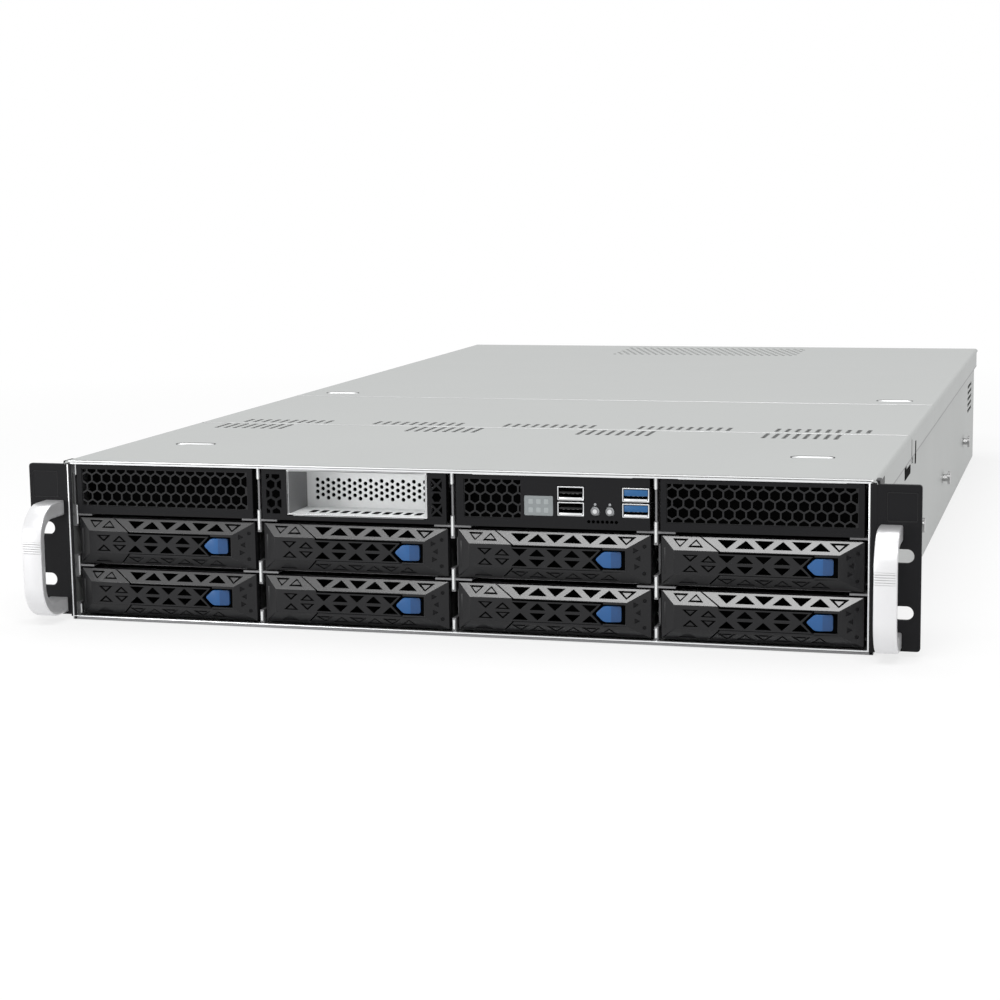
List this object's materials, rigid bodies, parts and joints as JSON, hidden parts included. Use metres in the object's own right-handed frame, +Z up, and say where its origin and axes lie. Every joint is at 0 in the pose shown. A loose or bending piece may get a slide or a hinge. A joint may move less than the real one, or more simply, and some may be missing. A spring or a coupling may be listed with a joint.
{
  "type": "rack server",
  "caption": "Two-unit rack server chassis with sliding drive carriers, lift-off covers, front sockets and buttons, fans and plug-in power supplies.",
  "frame": {"origin": "on the underside, mid-width, in the plane of the rack posts (back face of the ears)", "axes": "+Z up, +Y to the rear, +X right seen from the front"},
  "size_m": [0.4826, 0.829, 0.088],
  "materials": {
    "zinc_steel": "zinc-plated sheet steel, satin",
    "black_ear": "fine-textured black",
    "satin_silver": "satin silver",
    "black_panel": "satin black",
    "black_plastic": "moulded black plastic",
    "blue_plastic": "moulded blue plastic",
    "bright_blue_plastic": "bright blue contact tongue",
    "socket_steel": "tinned steel",
    "grey_window": "grey light window",
    "silver_button": "silver-painted button",
    "stud_steel": "zinc-plated",
    "circuit_board": "green solder mask",
    "heatsink_aluminium": "plain aluminium",
    "fan_plastic": "black moulded plastic",
    "supply_steel": "zinc-plated sheet steel"
  },
  "bodies": {
    "chassis": {"chassis_base": "zinc_steel", "middle_lid": "zinc_steel", "left_ear": "black_ear", "right_ear": "black_ear", "left_handle": "satin_silver", "right_handle": "satin_silver", "drive_cage": "zinc_steel", "left_grille": "black_panel", "right_grille": "black_panel", "io_panel": "black_panel", "slot_tray": "zinc_steel", "slot_bezel": "black_panel", "usb_shells": "socket_steel", "usb2_tongues": "black_plastic", "usb3_tongues": "bright_blue_plastic", "status_window": "grey_window", "rail_studs": "stud_steel", "drive_backplane": "circuit_board", "motherboard": "circuit_board", "cpu_heatsinks": "heatsink_aluminium", "memory_modules": "circuit_board", "fan_wall": "fan_plastic", "supply_cage": "zinc_steel", "expansion_cage": "zinc_steel"},
    "tray_1": {"drive_tray_1": "black_plastic"},
    "lever_1": {"tray_lever_1": "black_plastic"},
    "latch_1": {"tray_latch_1": "blue_plastic"},
    "tray_2": {"drive_tray_2": "black_plastic"},
    "lever_2": {"tray_lever_2": "black_plastic"},
    "latch_2": {"tray_latch_2": "blue_plastic"},
    "tray_3": {"drive_tray_3": "black_plastic"},
    "lever_3": {"tray_lever_3": "black_plastic"},
    "latch_3": {"tray_latch_3": "blue_plastic"},
    "tray_4": {"drive_tray_4": "black_plastic"},
    "lever_4": {"tray_lever_4": "black_plastic"},
    "latch_4": {"tray_latch_4": "blue_plastic"},
    "tray_5": {"drive_tray_5": "black_plastic"},
    "lever_5": {"tray_lever_5": "black_plastic"},
    "latch_5": {"tray_latch_5": "blue_plastic"},
    "tray_6": {"drive_tray_6": "black_plastic"},
    "lever_6": {"tray_lever_6": "black_plastic"},
    "latch_6": {"tray_latch_6": "blue_plastic"},
    "tray_7": {"drive_tray_7": "black_plastic"},
    "lever_7": {"tray_lever_7": "black_plastic"},
    "latch_7": {"tray_latch_7": "blue_plastic"},
    "tray_8": {"drive_tray_8": "black_plastic"},
    "lever_8": {"tray_lever_8": "black_plastic"},
    "latch_8": {"tray_latch_8": "blue_plastic"},
    "front_lid": {"front_lid": "zinc_steel"},
    "rear_lid": {"rear_lid": "zinc_steel"},
    "supply_1": {"power_supply_1": "supply_steel"},
    "supply_2": {"power_supply_2": "supply_steel"},
    "power_button": {"power_button": "silver_button"},
    "reset_button": {"reset_button": "silver_button"},
    "supply_latch_1": {"supply_latch_1": "bright_blue_plastic"},
    "supply_latch_2": {"supply_latch_2": "bright_blue_plastic"},
    "rotor_1": {"fan_rotor_1": "fan_plastic"},
    "rotor_2": {"fan_rotor_2": "fan_plastic"},
    "rotor_3": {"fan_rotor_3": "fan_plastic"},
    "rotor_4": {"fan_rotor_4": "fan_plastic"}
  },
  "joints": [
    {"name": "tray_1_slide", "type": "slide", "parent": "chassis", "child": "tray_1", "axis": [0, -1, 0], "range_m": [0, 0.15]},
    {"name": "tray_2_slide", "type": "slide", "parent": "chassis", "child": "tray_2", "axis": [0, -1, 0], "range_m": [0, 0.15]},
    {"name": "tray_3_slide", "type": "slide", "parent": "chassis", "child": "tray_3", "axis": [0, -1, 0], "range_m": [0, 0.15]},
    {"name": "tray_4_slide", "type": "slide", "parent": "chassis", "child": "tray_4", "axis": [0, -1, 0], "range_m": [0, 0.15]},
    {"name": "tray_5_slide", "type": "slide", "parent": "chassis", "child": "tray_5", "axis": [0, -1, 0], "range_m": [0, 0.15]},
    {"name": "tray_6_slide", "type": "slide", "parent": "chassis", "child": "tray_6", "axis": [0, -1, 0], "range_m": [0, 0.15]},
    {"name": "tray_7_slide", "type": "slide", "parent": "chassis", "child": "tray_7", "axis": [0, -1, 0], "range_m": [0, 0.15]},
    {"name": "tray_8_slide", "type": "slide", "parent": "chassis", "child": "tray_8", "axis": [0, -1, 0], "range_m": [0, 0.15]},
    {"name": "lever_1_hinge", "type": "hinge", "parent": "tray_1", "child": "lever_1", "pos_m": [-0.2097, 0.002, 0.0156], "axis": [0, 0, -1], "range_deg": [0, 60]},
    {"name": "lever_2_hinge", "type": "hinge", "parent": "tray_2", "child": "lever_2", "pos_m": [-0.1017, 0.002, 0.0156], "axis": [0, 0, -1], "range_deg": [0, 60]},
    {"name": "lever_3_hinge", "type": "hinge", "parent": "tray_3", "child": "lever_3", "pos_m": [0.0063, 0.002, 0.0156], "axis": [0, 0, -1], "range_deg": [0, 60]},
    {"name": "lever_4_hinge", "type": "hinge", "parent": "tray_4", "child": "lever_4", "pos_m": [0.1143, 0.002, 0.0156], "axis": [0, 0, -1], "range_deg": [0, 60]},
    {"name": "lever_5_hinge", "type": "hinge", "parent": "tray_5", "child": "lever_5", "pos_m": [-0.2097, 0.002, 0.0438], "axis": [0, 0, -1], "range_deg": [0, 60]},
    {"name": "lever_6_hinge", "type": "hinge", "parent": "tray_6", "child": "lever_6", "pos_m": [-0.1017, 0.002, 0.0438], "axis": [0, 0, -1], "range_deg": [0, 60]},
    {"name": "lever_7_hinge", "type": "hinge", "parent": "tray_7", "child": "lever_7", "pos_m": [0.0063, 0.002, 0.0438], "axis": [0, 0, -1], "range_deg": [0, 60]},
    {"name": "lever_8_hinge", "type": "hinge", "parent": "tray_8", "child": "lever_8", "pos_m": [0.1143, 0.002, 0.0438], "axis": [0, 0, -1], "range_deg": [0, 60]},
    {"name": "front_lid_lift", "type": "slide", "parent": "chassis", "child": "front_lid", "axis": [0, 0, 1], "range_m": [0, 0.12]},
    {"name": "rear_lid_lift", "type": "slide", "parent": "chassis", "child": "rear_lid", "axis": [0, 0, 1], "range_m": [0, 0.12]},
    {"name": "supply_1_slide", "type": "slide", "parent": "chassis", "child": "supply_1", "axis": [0, 1, 0], "range_m": [0, 0.2]},
    {"name": "supply_2_slide", "type": "slide", "parent": "chassis", "child": "supply_2", "axis": [0, 1, 0], "range_m": [0, 0.2]},
    {"name": "power_press", "type": "slide", "parent": "chassis", "child": "power_button", "axis": [0, 1, 0], "range_m": [0, 0.001], "stiffness_N_per_m": 300},
    {"name": "reset_press", "type": "slide", "parent": "chassis", "child": "reset_button", "axis": [0, 1, 0], "range_m": [0, 0.001], "stiffness_N_per_m": 300},
    {"name": "latch_1_press", "type": "slide", "parent": "tray_1", "child": "latch_1", "axis": [1, 0, 0], "range_m": [0, 0.002], "stiffness_N_per_m": 300},
    {"name": "latch_2_press", "type": "slide", "parent": "tray_2", "child": "latch_2", "axis": [1, 0, 0], "range_m": [0, 0.002], "stiffness_N_per_m": 300},
    {"name": "latch_3_press", "type": "slide", "parent": "tray_3", "child": "latch_3", "axis": [1, 0, 0], "range_m": [0, 0.002], "stiffness_N_per_m": 300},
    {"name": "latch_4_press", "type": "slide", "parent": "tray_4", "child": "latch_4", "axis": [1, 0, 0], "range_m": [0, 0.002], "stiffness_N_per_m": 300},
    {"name": "latch_5_press", "type": "slide", "parent": "tray_5", "child": "latch_5", "axis": [1, 0, 0], "range_m": [0, 0.002], "stiffness_N_per_m": 300},
    {"name": "latch_6_press", "type": "slide", "parent": "tray_6", "child": "latch_6", "axis": [1, 0, 0], "range_m": [0, 0.002], "stiffness_N_per_m": 300},
    {"name": "latch_7_press", "type": "slide", "parent": "tray_7", "child": "latch_7", "axis": [1, 0, 0], "range_m": [0, 0.002], "stiffness_N_per_m": 300},
    {"name": "latch_8_press", "type": "slide", "parent": "tray_8", "child": "latch_8", "axis": [1, 0, 0], "range_m": [0, 0.002], "stiffness_N_per_m": 300},
    {"name": "supply_latch_1_press", "type": "slide", "parent": "supply_1", "child": "supply_latch_1", "axis": [-1, 0, 0], "range_m": [0, 0.002], "stiffness_N_per_m": 300},
    {"name": "supply_latch_2_press", "type": "slide", "parent": "supply_2", "child": "supply_latch_2", "axis": [-1, 0, 0], "range_m": [0, 0.002], "stiffness_N_per_m": 300},
    {"name": "rotor_1_spin", "type": "hinge", "parent": "chassis", "child": "rotor_1", "pos_m": [-0.1605, 0.2352, 0.0425], "axis": [0, 1, 0], "continuous": true},
    {"name": "rotor_2_spin", "type": "hinge", "parent": "chassis", "child": "rotor_2", "pos_m": [-0.0535, 0.2352, 0.0425], "axis": [0, 1, 0], "continuous": true},
    {"name": "rotor_3_spin", "type": "hinge", "parent": "chassis", "child": "rotor_3", "pos_m": [0.0535, 0.2352, 0.0425], "axis": [0, 1, 0], "continuous": true},
    {"name": "rotor_4_spin", "type": "hinge", "parent": "chassis", "child": "rotor_4", "pos_m": [0.1605, 0.2352, 0.0425], "axis": [0, 1, 0], "continuous": true}
  ]
}
